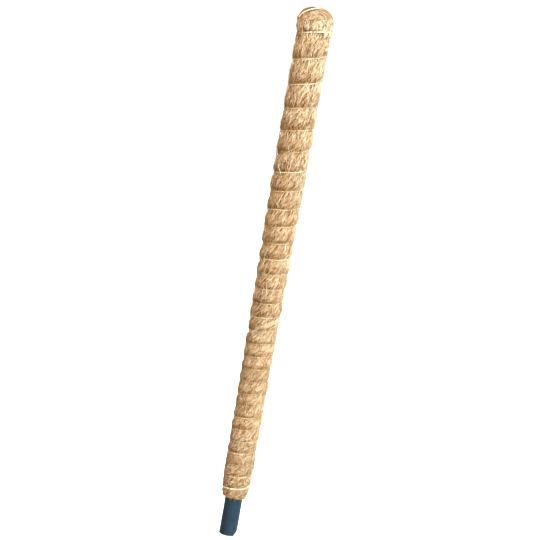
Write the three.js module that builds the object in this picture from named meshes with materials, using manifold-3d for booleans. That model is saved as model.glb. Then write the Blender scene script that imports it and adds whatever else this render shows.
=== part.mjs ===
// Moss pole: a plastic pipe wrapped in coir fibre, which twine binds in an open spiral.
// Millimetres, +Z up. The origin is the centre of the pipe's lower end, and -Y is the front.

import * as THREE from 'three';
import { mergeVertices } from 'three/addons/utils/BufferGeometryUtils.js';
import Module from 'manifold-3d';

const wasm = await Module();
wasm.setup();

// Driving dimensions
const poleLength = 600;          // lower end of the pipe to the top of the crown
const pipeDiameter = 20;
const pipeWall = 1.6;
const stubLength = 44;           // bare pipe below the coir
const bevelWidth = 3.4;          // sawn corner of the pipe's lower end: across the end
const bevelHeight = 6;           // and up the side
const hemThickness = 1.0;        // coir at its lower end
const hemRound = 38;             // height over which the lower end rounds out
const footThickness = 5.5;       // coir over the pipe along the lower part of the pole
const neckThickness = 7.8;       // coir over the pipe along the upper part
const crownHeight = 25;          // last turn of twine to the top of the crown
const crownThickness = 9.2;      // coir over the pipe where the crown is widest
const crownPad = 10;             // coir above the pipe's upper end
const domeHeight = 20;           // rounded part of the crown
const domePower = 2.6;           // 2 is an ellipse, more is squarer
const neckTuck = 4.4;            // how far the crown draws in at the neck
const grooveDepth = 2.6;         // how far the twine draws the coir in
const twineDiameter = 1.6;
const firstTurnRise = 13;        // lower end of the coir to the first turn, at the front
const shoulderRise = 13.2;       // last turn to where the twine bends over the crown
const seamRise = 9;              // slant of the join between the two lengths of coir
const knotRadius = 1.6;          // of the ring that each knot runs round

// Counts and shares
const turnCount = 29;            // turns of twine between the first and the last
const neckOpening = 0.227;       // share of the height that the widening turns take up
const openingPower = 4;          // how late the turns widen
const frontSlack = 0.3;          // how much flatter the twine lies at the front than on average
const swellStart = 0.18;         // share of the twined height where the coir starts to thicken
const swellEnd = 0.66;           // and where it is at its thickest
const seamTurn = 13.3;           // turns of twine below the join of the coir, at the front
const joinTurn = 12.5;           // turns of twine below the join of the twine, at the back
const footTurn = -0.45;          // where the twine starts, at the back
const shoulderTurns = 0.81;      // turns from the neck to the bend over the crown
const crownTurns = 0.27;         // turns from that bend to the twine's end
const twineEndShare = 0.15;      // of the crown's radius, where the twine ends
const bulgeLow = 0.26;           // share of a turn where a bulge is full, from the twine below
const bulgeHigh = 0.46;          // share of a turn where it starts to draw in again
const stations = 14;             // flats round the coir and steps in a turn of twine
const crownSides = 2 * stations;
const twineSides = 5;
const pipeSides = 56;

// Clearances
const seatGap = 0.3;             // between pieces that touch
const buttGap = 0.4;             // between ends that meet

const pipeRadius = pipeDiameter / 2;
const pipeTop = poleLength - crownPad;
const twineRadius = twineDiameter / 2;
const firstTurn = stubLength + firstTurnRise;
const neck = poleLength - crownHeight;
const crownBase = neck + seatGap;
const domeBase = poleLength - domeHeight;
const crownRadius = pipeRadius + crownThickness;
const frontAngle = -Math.PI / 2;
const stationAngle = 2 * Math.PI / stations;
const flatToCorner = 1 / Math.cos(stationAngle / 2);

const clamp = THREE.MathUtils.clamp;
const lerp = THREE.MathUtils.lerp;
const smoothstep = THREE.MathUtils.smoothstep;

// Turns by their rise for turns by their angle: the twine lies flatter at the front than at the back
function riseTurn(turn) {
  return turn - frontSlack * Math.sin(turn * 2 * Math.PI) / (2 * Math.PI);
}

// Height after a number of turns by their rise, counted at the front from the first turn
function heightAt(turn) {
  const share = turn / turnCount;
  const opening = Math.sign(share) * Math.abs(share) ** openingPower;
  return lerp(firstTurn, neck, (1 - neckOpening) * share + neckOpening * opening);
}

function twineHeight(turn) {
  return heightAt(riseTurn(turn));
}

// The turn by its rise at a height, by halving the range that holds it
function turnAt(height) {
  let low = -turnCount;
  let high = 2 * turnCount;
  for (let step = 0; step < 50; step++) {
    const middle = (low + high) / 2;
    if (heightAt(middle) < height) {
      low = middle;
    } else {
      high = middle;
    }
  }
  return (low + high) / 2;
}

// Radius over the bulges of the coir, which rounds in at its lower end
function bulgeRadius(height) {
  const swell = smoothstep((height - firstTurn) / (neck - firstTurn), swellStart, swellEnd);
  const thickness = lerp(footThickness, neckThickness, swell);
  const hemShare = clamp((height - stubLength) / hemRound, 0, 1);
  const round = Math.sqrt(1 - (1 - hemShare) ** 2);
  return pipeRadius + lerp(hemThickness, thickness, round);
}

function grooveDepthAt(height) {
  return grooveDepth * clamp((height - stubLength) / hemRound, 0, 1);
}

// Radius of the coir under the twine, and at its ends
function grooveRadius(height) {
  return bulgeRadius(height) - grooveDepthAt(height);
}

// Radius of the coir at a height and an angle, counted in turns from the front
function coirRadius(height, angleTurns) {
  const turn = turnAt(height) - riseTurn(angleTurns);
  const phase = turn - Math.floor(turn);
  const belowBulge = (bulgeLow - phase) / bulgeLow;
  const aboveBulge = (phase - bulgeHigh) / (1 - bulgeHigh);
  const draw = Math.max(0, belowBulge, aboveBulge);
  return bulgeRadius(height) - grooveDepthAt(height) * draw;
}

// Radius of the crown, which draws in at the neck and closes over the pipe's upper end
function crownRadiusAt(height) {
  if (height < domeBase) {
    const tuckShare = clamp((domeBase - height) / (domeBase - neck), 0, 1);
    return crownRadius - neckTuck * tuckShare ** 2;
  }
  const share = clamp((height - domeBase) / domeHeight, 0, 1);
  return crownRadius * (1 - share ** domePower) ** (1 / domePower);
}

function onPole(radius, angleTurns, height) {
  const angle = frontAngle + angleTurns * 2 * Math.PI;
  return new THREE.Vector3(radius * Math.cos(angle), radius * Math.sin(angle), height);
}

// Closed geometry from triangles of loose corners; those that have no area are dropped
function closedGeometry(triangles) {
  const corners = [];
  for (const [a, b, c] of triangles) {
    const area = b.clone().sub(a).cross(c.clone().sub(a)).length() / 2;
    if (area > 1e-6) {
      corners.push(...a.toArray(), ...b.toArray(), ...c.toArray());
    }
  }
  const geometry = new THREE.BufferGeometry();
  geometry.setAttribute('position', new THREE.Float32BufferAttribute(corners, 3));
  return mergeVertices(geometry, 1e-3);
}

function quad(a, b, c, d) {
  return [[a, b, c], [a, c, d]];
}

// A length of coir between two ends, each a height for an angle in turns
function coirSleeve(lowerEnd, upperEnd) {
  const innerRadius = (pipeRadius + seatGap) * flatToCorner;
  const firstRow = Math.floor(turnAt(stubLength)) - 2;
  const lastRow = Math.ceil(turnAt(neck)) + 1;
  const rows = [];
  for (let turn = firstRow; turn <= lastRow; turn++) {
    rows.push(turn, turn + bulgeLow, turn + bulgeHigh);
  }
  const outer = (station, row) => {
    const angleTurns = station / stations;
    const wanted = heightAt(row + riseTurn(angleTurns));
    const height = clamp(wanted, lowerEnd(angleTurns), upperEnd(angleTurns));
    const radius = height === wanted ? coirRadius(height, angleTurns) : grooveRadius(height);
    return onPole(radius, angleTurns, height);
  };
  const inner = (station, end) => onPole(innerRadius, station / stations, end(station / stations));
  const triangles = [];
  for (let station = 0; station < stations; station++) {
    const next = station + 1;
    for (let i = 0; i < rows.length - 1; i++) {
      const low = rows[i];
      const high = rows[i + 1];
      triangles.push(...quad(outer(station, low), outer(next, low), outer(next, high), outer(station, high)));
    }
    const bottom = rows[0];
    const top = rows[rows.length - 1];
    const innerLow = [inner(station, lowerEnd), inner(next, lowerEnd)];
    const innerHigh = [inner(station, upperEnd), inner(next, upperEnd)];
    triangles.push(...quad(outer(station, bottom), innerLow[0], innerLow[1], outer(next, bottom)));
    triangles.push(...quad(outer(station, top), outer(next, top), innerHigh[1], innerHigh[0]));
    triangles.push(...quad(innerLow[0], innerHigh[0], innerHigh[1], innerLow[1]));
  }
  return closedGeometry(triangles);
}

// Middle of the twine and the way out of the coir there, in the groove and over the crown
function twineAt(turn) {
  const clear = twineRadius + seatGap;
  if (turn <= turnCount) {
    const height = twineHeight(turn);
    const pitch = twineHeight(turn + 0.5) - twineHeight(turn - 0.5);
    const run = Math.min(bulgeLow, 1 - bulgeHigh) * pitch;
    const depth = grooveDepthAt(height);
    const radius = grooveRadius(height) + clear * Math.hypot(1, depth / run);
    return { point: onPole(radius, turn, height), out: onPole(1, turn, 0) };
  }
  const shoulder = neck + shoulderRise;
  const side = (turn - turnCount) / shoulderTurns;
  if (side <= 1) {
    const height = lerp(neck, shoulder, side);
    const radius = Math.max(crownRadiusAt(height), crownRadiusAt(height + twineRadius)) + clear;
    return { point: onPole(radius, turn, height), out: onPole(1, turn, 0) };
  }
  const over = (turn - turnCount - shoulderTurns) / crownTurns;
  const radius = lerp(crownRadiusAt(shoulder), twineEndShare * crownRadius, over);
  const share = (1 - (radius / crownRadius) ** domePower) ** (1 / domePower);
  const sideways = radius ** (domePower - 1) / crownRadius ** domePower;
  const upwards = (share * domeHeight) ** (domePower - 1) / domeHeight ** domePower;
  const out = onPole(sideways, turn, upwards).normalize();
  const point = onPole(radius, turn, domeBase + share * domeHeight);
  return { point: point.addScaledVector(out, clear), out };
}

// A tube of flat sides through the places that it passes, with closed ends
function tubeAlong(places) {
  const rings = places.map(({ point, out }, i) => {
    const before = places[Math.max(i - 1, 0)].point;
    const after = places[Math.min(i + 1, places.length - 1)].point;
    const along = after.clone().sub(before).normalize();
    const across = along.clone().cross(out).normalize();
    const outward = across.clone().cross(along);
    return Array.from({ length: twineSides }, (_, side) => {
      const angle = side * 2 * Math.PI / twineSides;
      const corner = point.clone().addScaledVector(outward, twineRadius * Math.cos(angle));
      return corner.addScaledVector(across, twineRadius * Math.sin(angle));
    });
  });
  const triangles = [];
  for (let i = 0; i < rings.length - 1; i++) {
    for (let side = 0; side < twineSides; side++) {
      const next = (side + 1) % twineSides;
      triangles.push(...quad(rings[i][side], rings[i][next], rings[i + 1][next], rings[i + 1][side]));
    }
  }
  const first = rings[0];
  const last = rings[rings.length - 1];
  for (let side = 1; side < twineSides - 1; side++) {
    triangles.push([first[0], first[side + 1], first[side]]);
    triangles.push([last[0], last[side], last[side + 1]]);
  }
  return closedGeometry(triangles);
}

// Least gap of a tube to its own other turns, measured between points on its middle line
function leastGap(places) {
  let least = Infinity;
  for (let i = 0; i < places.length; i++) {
    for (let k = i + Math.floor(stations / 2); k < places.length; k++) {
      least = Math.min(least, places[i].point.distanceTo(places[k].point));
    }
  }
  return least - twineDiameter;
}

// Places along the twine between two turns, at the corners of the coir and then of the crown
function twinePlaces(fromTurn, toTurn) {
  const places = [twineAt(fromTurn)];
  for (let step = Math.floor(fromTurn * crownSides) + 1; step < toTurn * crownSides; step++) {
    const turn = step / crownSides;
    if (turn > turnCount || step % (crownSides / stations) === 0) {
      places.push(twineAt(turn));
    }
  }
  places.push(twineAt(toTurn));
  return places;
}

// An overhand knot, flat against the coir, on the twine at a turn
function knotAt(turn) {
  const geometry = new THREE.TorusKnotGeometry(knotRadius, twineRadius, 32, twineSides, 2, 3);
  const { point, out } = twineAt(turn);
  const thickness = knotRadius / 2 + twineRadius;
  const seat = onPole(bulgeRadius(point.z) + seatGap + thickness, turn, point.z);
  geometry.applyQuaternion(new THREE.Quaternion().setFromUnitVectors(new THREE.Vector3(0, 0, 1), out));
  return geometry.translate(...seat.toArray());
}

// Raises the end of a run of twine out of its groove and into its knot
function raisedTo(turn, places, atStart) {
  const { out } = twineAt(turn);
  const seat = onPole(bulgeRadius(twineAt(turn).point.z) + seatGap + twineRadius, turn, 0);
  const end = atStart ? places[0] : places[places.length - 1];
  end.point.x = seat.x;
  end.point.y = seat.y;
  end.out = out;
  return places;
}

function asSolid(geometry) {
  geometry.deleteAttribute('normal');
  geometry.deleteAttribute('uv');
  const merged = mergeVertices(geometry, 1e-4);
  return new wasm.Manifold(new wasm.Mesh({
    numProp: 3,
    vertProperties: new Float32Array(merged.getAttribute('position').array),
    triVerts: new Uint32Array(merged.getIndex().array),
  }));
}

function asGeometry(solid) {
  const mesh = solid.getMesh();
  const geometry = new THREE.BufferGeometry();
  geometry.setAttribute('position', new THREE.Float32BufferAttribute(mesh.vertProperties, 3));
  geometry.setIndex(new THREE.Uint32BufferAttribute(mesh.triVerts, 1));
  return geometry;
}

function turned(profile, sides) {
  const points = profile.map(([radius, height]) => new THREE.Vector2(radius, height));
  return new THREE.LatheGeometry(points, sides).rotateX(Math.PI / 2);
}

// The pipe, with one corner of its lower end sawn off
function pipeGeometry() {
  const bore = pipeRadius - pipeWall;
  const tube = turned([[bore, pipeTop], [bore, 0], [pipeRadius, 0], [pipeRadius, pipeTop], [bore, pipeTop]], pipeSides);
  const slant = Math.hypot(bevelWidth, bevelHeight);
  const saw = new THREE.BoxGeometry(pipeDiameter, 2 * pipeDiameter, 2 * (slant + pipeDiameter));
  saw.translate(pipeDiameter / 2, 0, 0);
  saw.rotateY(Math.asin(bevelWidth / slant));
  saw.translate(pipeRadius - bevelWidth / 2, 0, bevelHeight / 2);
  return asGeometry(asSolid(tube).subtract(asSolid(saw)));
}

// The crown, a cap of coir over the pipe's upper end
function crownGeometry() {
  const socket = (pipeRadius + seatGap) * flatToCorner;
  const profile = [[0, pipeTop + seatGap], [socket, pipeTop + seatGap], [socket, crownBase]];
  const sideRings = 3;
  for (let ring = 0; ring < sideRings; ring++) {
    const height = lerp(crownBase, domeBase, ring / sideRings);
    profile.push([crownRadiusAt(height), height]);
  }
  const domeRings = 6;
  for (let ring = 0; ring < domeRings; ring++) {
    const lift = Math.sin(ring / domeRings * Math.PI / 2) ** (2 / domePower);
    const height = domeBase + domeHeight * lift;
    profile.push([crownRadiusAt(height), height]);
  }
  profile.push([0, poleLength]);
  return turned(profile, crownSides);
}

const coirFoot = () => stubLength;
const coirTop = () => neck;
const seam = (angleTurns) => heightAt(seamTurn) + seamRise * Math.sin(angleTurns * 2 * Math.PI);
const belowSeam = (angleTurns) => seam(angleTurns) - buttGap / 2;
const aboveSeam = (angleTurns) => seam(angleTurns) + buttGap / 2;

// The two lengths of twine: the upper one starts just past the knot that ends the lower one
const knotHalf = 1.5 * knotRadius + twineRadius + buttGap;
const joinClear = knotHalf / (2 * Math.PI * bulgeRadius(twineHeight(joinTurn)));
const twineEnd = turnCount + shoulderTurns + crownTurns;
const lowerPlaces = twinePlaces(footTurn, joinTurn);
const upperPlaces = twinePlaces(joinTurn + joinClear, twineEnd);
console.log(`least gap of the lower twine to itself ${leastGap(lowerPlaces).toFixed(2)} mm`);
console.log(`least gap of the upper twine to itself ${leastGap(upperPlaces).toFixed(2)} mm`);

raisedTo(footTurn, lowerPlaces, true);
raisedTo(joinTurn, lowerPlaces, false);
const lowerTwine = asSolid(tubeAlong(lowerPlaces)).add(asSolid(knotAt(footTurn))).add(asSolid(knotAt(joinTurn)));

function piece(name, geometry, color, roughness) {
  const mesh = new THREE.Mesh(geometry, new THREE.MeshStandardMaterial({ color, roughness, metalness: 0 }));
  mesh.name = name;
  return mesh;
}

const pole = new THREE.Group();
pole.add(
  piece('core_pipe', pipeGeometry(), 0x3f5668, 0.5),
  piece('coir_wrap_lower', coirSleeve(coirFoot, belowSeam), 0xc99f68, 0.95),
  piece('coir_wrap_upper', coirSleeve(aboveSeam, coirTop), 0xcaa26c, 0.95),
  piece('crown_wad', crownGeometry(), 0xc8a06a, 0.95),
  piece('twine_lower', asGeometry(lowerTwine), 0xe6d7ac, 0.85),
  piece('twine_upper', tubeAlong(upperPlaces), 0xebe0c0, 0.85),
);

export default pole;
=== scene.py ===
import math

import bmesh
import bpy
import numpy as np
from mathutils import Matrix, Vector


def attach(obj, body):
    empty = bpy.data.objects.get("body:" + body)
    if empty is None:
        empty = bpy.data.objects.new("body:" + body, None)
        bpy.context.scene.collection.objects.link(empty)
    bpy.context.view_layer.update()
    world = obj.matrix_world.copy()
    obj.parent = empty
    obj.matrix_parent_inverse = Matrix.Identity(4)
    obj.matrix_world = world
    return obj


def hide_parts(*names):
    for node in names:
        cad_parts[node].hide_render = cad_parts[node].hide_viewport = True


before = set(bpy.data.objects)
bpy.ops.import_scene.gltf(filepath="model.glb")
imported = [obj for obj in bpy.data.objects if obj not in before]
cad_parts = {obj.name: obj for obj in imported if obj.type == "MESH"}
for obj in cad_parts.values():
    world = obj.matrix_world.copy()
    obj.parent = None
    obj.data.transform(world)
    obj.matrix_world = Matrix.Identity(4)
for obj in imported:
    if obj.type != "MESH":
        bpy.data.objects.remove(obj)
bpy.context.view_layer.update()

fullTurn = 2 * math.pi
tiny = 1e-6  # metres: points as near as this are one
print("frame loaded:", ", ".join(sorted(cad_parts)))


def grow(value, start, reach, much=1):  # 0 at the start, much at a reach past it or, if negative, before it
    return much * np.clip((value - start) / reach, 0, 1)


def smooth(share):
    return share * share * (3 - 2 * share)


# camera, with the pole leaning to the right as it was photographed
view = {
    "imageSide": 540,
    "focalPixels": 1712.6,
    "distance": 1.9,
    "farthest": 50,
    "elevation": math.radians(10.5),
    "roll": math.radians(9.72),
    "middle": 0.300,  # the height that the elevation is taken at
    "aim": Vector((-0.0032, 0, 0.3085)),
}


def makeCamera():
    data = bpy.data.cameras.new("camera")
    data.sensor_fit = "HORIZONTAL"
    data.lens = data.sensor_width * view["focalPixels"] / view["imageSide"]
    data.clip_end = view["farthest"]
    camera = bpy.data.objects.new("camera", data)
    rise = view["distance"] * math.sin(view["elevation"])
    back = view["distance"] * math.cos(view["elevation"])
    spot = Vector((view["aim"].x, -back, view["middle"] + rise))
    forward = (view["aim"] - spot).normalized()
    level = forward.cross(Vector((0, 0, 1))).normalized()
    upright = level.cross(forward)
    right = level * math.cos(view["roll"]) + upright * math.sin(view["roll"])
    up = right.cross(forward)
    turned = Matrix((right, up, -forward)).transposed()
    camera.matrix_world = Matrix.Translation(spot) @ turned.to_4x4()
    bpy.context.collection.objects.link(camera)
    bpy.context.scene.camera = camera


makeCamera()
print("camera placed")


# shader maths as Python: a wire is a node's output
class Wire:
    def __init__(self, tree, socket):
        self.tree = tree
        self.socket = socket

    @staticmethod
    def node(tree, kind, settings=None, sockets=None, out=0):
        made = tree.nodes.new("ShaderNode" + kind)
        for key, value in (settings or {}).items():
            if key == "stops":
                Wire.setStops(made.color_ramp, value)
            else:
                setattr(made, key, value)
        for key, value in (sockets or {}).items():
            if isinstance(value, Wire):
                tree.links.new(value.socket, made.inputs[key])
            else:
                made.inputs[key].default_value = value
        return Wire(tree, made.outputs[out])

    @staticmethod
    def setStops(ramp, stops):
        while len(ramp.elements) < len(stops):
            ramp.elements.new(0.5)
        for element, (place, colour) in zip(ramp.elements, stops):
            element.position = place
            element.color = (*colour, 1)

    def maths(self, operation, first, second):
        return Wire.node(self.tree, "Math", {"operation": operation}, {0: first, 1: second})

    def __add__(self, other):
        return self.maths("ADD", self, other)

    def __radd__(self, other):
        return self.maths("ADD", other, self)

    def __sub__(self, other):
        return self.maths("SUBTRACT", self, other)

    def __rsub__(self, other):
        return self.maths("SUBTRACT", other, self)

    def __mul__(self, other):
        return self.maths("MULTIPLY", self, other)

    def above(self, low, high):  # 0 below low, 1 above high
        limits = {"Value": self, "From Min": low, "From Max": high}
        return Wire.node(self.tree, "MapRange", {"interpolation_type": "SMOOTHSTEP"}, limits)


def newFinish(name):
    material = bpy.data.materials.new(name)
    material.use_nodes = True
    shader = material.node_tree.nodes["Principled BSDF"]
    return material, material.node_tree, shader


def feed(tree, shader, **wires):  # what changes over the surface
    for name, wire in wires.items():
        tree.links.new(wire.socket, shader.inputs[name.replace("_", " ")])


def setSockets(shader, **values):  # what is the same all over
    for name, value in values.items():
        shader.inputs[name.replace("_", " ")].default_value = value


def noise(tree, coords, scale, detail, rough, stretch=(1, 1, 1)):
    placed = Wire.node(tree, "Mapping", None, {"Vector": coords, "Scale": stretch})
    sockets = {"Vector": placed, "Scale": scale, "Detail": detail, "Roughness": rough}
    return Wire.node(tree, "TexNoise", None, sockets)


def blendColours(tree, factor, first, second, how="MIX"):
    settings = {"data_type": "RGBA", "blend_type": how}
    return Wire.node(tree, "Mix", settings, {0: factor, 6: first, 7: second}, out=2)


def ramp(tree, factor, stops):
    return Wire.node(tree, "ValToRGB", {"stops": stops}, {0: factor})


def bump(tree, height, strength, depth):
    return Wire.node(tree, "Bump", None, {"Strength": strength, "Distance": depth, "Height": height})


# the wrap's own law, in metres and turns from the front, as the solids have it
wrap = {
    "pipeRadius": 0.010,
    "stub": 0.044,  # bare pipe below the coir
    "neck": 0.575,  # where the crown starts
    "firstTurn": 0.057,
    "turnCount": 29,
    "neckOpening": 0.227,
    "openingPower": 4,
    "hemThickness": 0.0010,
    "hemRound": 0.038,
    "footThickness": 0.0055,
    "neckThickness": 0.0078,
    "swellStart": 0.18,
    "swellEnd": 0.66,
    "frontSlack": 0.3,
    "groove": 0.0026,
    "bulgeLow": 0.26,
    "bulgeHigh": 0.46,
    "pinchPower": 1.3,
    "seamTurn": 13.3,
    "seamRise": 0.009,
    "creaseDepth": 0.0011,  # along the seam
    "creaseWidth": 0.0016,
    "lumps": [  # waves round the pole, height of one, where it starts, size
        (2, 0.047, 0.0, 0.00022),
        (3, -0.031, 1.3, 0.00016),
        (5, 0.0173, 0.4, 0.00012),
    ],
}


def riseTurn(turns):  # the twine lies flatter at the front than at the back
    return turns - wrap["frontSlack"] * np.sin(fullTurn * turns) / fullTurn


def heightAt(turn):
    share = np.asarray(turn, float) / wrap["turnCount"]
    opening = np.sign(share) * np.abs(share) ** wrap["openingPower"]
    opened = (1 - wrap["neckOpening"]) * share + wrap["neckOpening"] * opening
    return wrap["firstTurn"] + (wrap["neck"] - wrap["firstTurn"]) * opened


def twineHeight(turn):
    return heightAt(riseTurn(turn))


turnSteps = np.linspace(-4, 34, 7601)  # the law in small steps, to read it backwards
heightSteps = heightAt(turnSteps)


def turnAt(height):
    return np.interp(height, heightSteps, turnSteps)


def hemShare(height):
    return grow(height, wrap["stub"], wrap["hemRound"])


def bulgeRadius(height):
    share = (height - wrap["firstTurn"]) / (wrap["neck"] - wrap["firstTurn"])
    swell = smooth(grow(share, wrap["swellStart"], wrap["swellEnd"] - wrap["swellStart"]))
    thickness = wrap["footThickness"] + (wrap["neckThickness"] - wrap["footThickness"]) * swell
    roundness = np.sqrt(1 - (1 - hemShare(height)) ** 2)
    return wrap["pipeRadius"] + wrap["hemThickness"] + (thickness - wrap["hemThickness"]) * roundness


def grooveAt(height):
    return wrap["groove"] * hemShare(height)


def bandPhase(height, turns):  # 0 at the twine below, 1 at the twine above
    return (turnAt(height) - riseTurn(turns)) % 1.0


def pinch(phase):  # 1 at the twine, 0 where the bulge is full
    low = np.clip(1 - phase / wrap["bulgeLow"], 0, 1) ** wrap["pinchPower"]
    high = np.clip(1 - (1 - phase) / (1 - wrap["bulgeHigh"]), 0, 1) ** wrap["pinchPower"]
    return np.maximum(low, high)


def coirFoot(turns):
    return wrap["stub"] + 0 * turns


def coirTop(turns):
    return wrap["neck"] + 0 * turns


def seamHeight(turns):
    return heightAt(wrap["seamTurn"]) + wrap["seamRise"] * np.sin(turns * fullTurn)


def nearSeam(height, turns):
    return np.exp(-(((height - seamHeight(turns)) / wrap["creaseWidth"]) ** 2))


def lumps(height, turns):
    return sum(
        size * np.sin(fullTurn * (waves * turns + height / pitch) + start)
        for waves, pitch, start, size in wrap["lumps"]
    )


def coirRadius(height, turns, bridging=0.0):  # bridging 1 passes over the grooves
    drawnIn = grooveAt(height) * pinch(bandPhase(height, turns)) * (1 - bridging)
    crease = wrap["creaseDepth"] * nearSeam(height, turns)
    return bulgeRadius(height) - drawnIn - crease + lumps(height, turns) * hemShare(height)


def ringPoint(radius, turns, height):
    angle = fullTurn * turns - math.pi / 2
    return np.stack([radius * np.cos(angle), radius * np.sin(angle), height], -1)


# meshes: what several pieces need
def spunOutline(outline, sides):  # a closed outline of radius and height, turned round the pole's axis
    bm = bmesh.new()
    ring = [bm.verts.new((float(radius), 0, float(height))) for radius, height in outline]
    edges = [bm.edges.new((ring[i], ring[(i + 1) % len(ring)])) for i in range(len(ring))]
    axis = {"cent": (0, 0, 0), "axis": (0, 0, 1), "angle": fullTurn, "steps": sides}
    bmesh.ops.spin(bm, geom=ring + edges, use_merge=True, **axis)
    bmesh.ops.remove_doubles(bm, verts=bm.verts, dist=tiny)
    return bm


def smoothMesh(bm, mesh):
    for face in bm.faces:
        face.smooth = True
    bm.to_mesh(mesh)
    bm.free()
    return mesh


def meshPlaces(mesh):
    flat = np.empty(len(mesh.vertices) * 3)
    mesh.vertices.foreach_get("co", flat)
    return flat.reshape(-1, 3)


def meshCorners(mesh):  # the vertex at each corner of each face
    corners = np.empty(len(mesh.loops), int)
    mesh.loops.foreach_get("vertex_index", corners)
    return corners


def setLay(mesh, places):  # where the coir's pattern is read at each vertex
    lay = mesh.attributes.new("lay", "FLOAT_VECTOR", "POINT")
    lay.data.foreach_set("vector", places.ravel())


def addPiece(name, mesh, finish, slot, *nodes):
    piece = bpy.data.objects.new(name, mesh)
    bpy.context.collection.objects.link(piece)
    mesh.materials.clear()
    mesh.materials.append(finish)
    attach(piece, "root")
    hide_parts(*nodes)


# core pipe: slate blue PVC, sawn a little askew at the foot
pipe = {
    "top": 0.590,
    "wall": 0.0016,
    "sides": 96,
    "edge": 0.0004,
    "roundedFrom": math.radians(25),  # edges as sharp as this get a small radius
    "creasedFrom": math.radians(40),  # and as sharp as this aren't shaded smooth
    "bevelWidth": 0.0034,
    "bevelHeight": 0.006,
}


def pipeFinish():
    material, tree, shader = newFinish("slate_pvc")
    place = Wire.node(tree, "TexCoord", out=3)
    grain = noise(tree, place, 260, 5, 0.6)
    drawn = noise(tree, place, 900, 3, 0.6, (1, 1, 0.03))  # lines of the extruder
    scuff = noise(tree, place, 55, 6, 0.72, (1, 1, 0.35)).above(0.60, 0.72)
    dust = noise(tree, place, 38, 4, 0.6).above(0.45, 0.75)
    tone = grain * 0.45 + drawn * 0.55
    slate = ramp(tree, tone, [(0.25, (0.030, 0.050, 0.069)), (0.75, (0.049, 0.075, 0.098))])
    dusty = blendColours(tree, dust * 0.12, slate, (0.10, 0.12, 0.13, 1))
    worn = blendColours(tree, scuff * 0.22, dusty, (0.12, 0.155, 0.19, 1))
    rough = 0.52 + dust * 0.16 + scuff * 0.12
    relief = bump(tree, grain * 0.4 + drawn * 0.5 - scuff * 0.6, 0.25, 0.0003)
    setSockets(shader, Specular_IOR_Level=0.06)
    feed(tree, shader, Base_Color=worn, Roughness=rough, Normal=relief)
    return material


def makePipe():
    outer = wrap["pipeRadius"]
    inner = outer - pipe["wall"]
    outline = [(outer, 0), (outer, pipe["top"]), (inner, pipe["top"]), (inner, 0)]
    bm = spunOutline(outline, pipe["sides"])
    bmesh.ops.recalc_face_normals(bm, faces=bm.faces)
    # the saw cut across the lower corner on the right
    slope = Vector((pipe["bevelHeight"], 0, -pipe["bevelWidth"])).normalized()
    start = Vector((outer - pipe["bevelWidth"], 0, 0))
    whole = bm.verts[:] + bm.edges[:] + bm.faces[:]
    cut = bmesh.ops.bisect_plane(bm, geom=whole, plane_co=start, plane_no=slope, clear_outer=True)
    rim = [e for e in cut["geom_cut"] if isinstance(e, bmesh.types.BMEdge)]
    bmesh.ops.edgenet_fill(bm, edges=rim)
    bmesh.ops.recalc_face_normals(bm, faces=bm.faces)
    paired = [e for e in bm.edges if len(e.link_faces) == 2]
    sharp = [e for e in paired if e.calc_face_angle(0) > pipe["roundedFrom"]]
    rounding = {"affect": "EDGES", "segments": 2, "profile": 0.5, "material": -1, "clamp_overlap": True}
    bmesh.ops.bevel(bm, geom=sharp, offset=pipe["edge"], **rounding)
    mesh = smoothMesh(bm, bpy.data.meshes.new("pipe"))
    mesh.set_sharp_from_angle(angle=pipe["creasedFrom"])
    addPiece("pipe", mesh, pipeFinish(), "pipe", "core_pipe")


makePipe()
print("pipe turned")


# coir beneath the strands: a closed sleeve that carries the bulges
sleeve = {
    "sides": 120,
    "rowStep": 0.0014,
    "sunk": 0.0006,  # below the outer strands
    "clearance": 0.0003,  # to the pipe
    "buttGap": 0.0004,  # between the two lengths
    "slantFoot": math.radians(50),
    "slantNeck": math.radians(74),
    "slantRadius": 0.0165,  # where the slant is turned into turns
    "layStretch": 12,
}


def slantAt(height):
    share = grow(height, wrap["stub"], wrap["neck"] - wrap["stub"])
    return sleeve["slantFoot"] + (sleeve["slantNeck"] - sleeve["slantFoot"]) * share


layHeights = np.linspace(0, 0.62, 621)
layRun = 1 / np.tan(slantAt(layHeights)) / (fullTurn * sleeve["slantRadius"])  # turns in a metre
layDrift = np.cumsum(layRun) * (layHeights[1] - layHeights[0])


def layPlace(turns, height):  # the same all along one line of the lay
    followed = turns - np.interp(height, layHeights, layDrift)
    return ringPoint(1.0, followed, height * sleeve["layStretch"])


def coirBodyFinish():
    material, tree, shader = newFinish("coir_mat")
    lay = Wire.node(tree, "Attribute", {"attribute_name": "lay"}, out=1)
    place = Wire.node(tree, "TexCoord", out=3)
    strands = noise(tree, lay, 42, 3, 0.6)
    fine = noise(tree, lay, 120, 3, 0.6)
    patches = noise(tree, place, 70, 3, 0.5)
    tone = strands * 0.55 + fine * 0.45
    # dark browns, so that where the sleeve shows between the strands it gives them painted shade
    browns = [(0.32, (0.08, 0.043, 0.019)), (0.50, (0.21, 0.125, 0.060)), (0.68, (0.38, 0.25, 0.130))]
    brown = ramp(tree, tone, browns)
    mottled = blendColours(tree, patches.above(0.4, 0.7) * 0.4, brown, (0.20, 0.12, 0.058, 1))
    setSockets(shader, Roughness=0.85, Specular_IOR_Level=0.15)
    feed(tree, shader, Base_Color=mottled, Normal=bump(tree, tone, 0.9, 0.0006))
    return material


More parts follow.
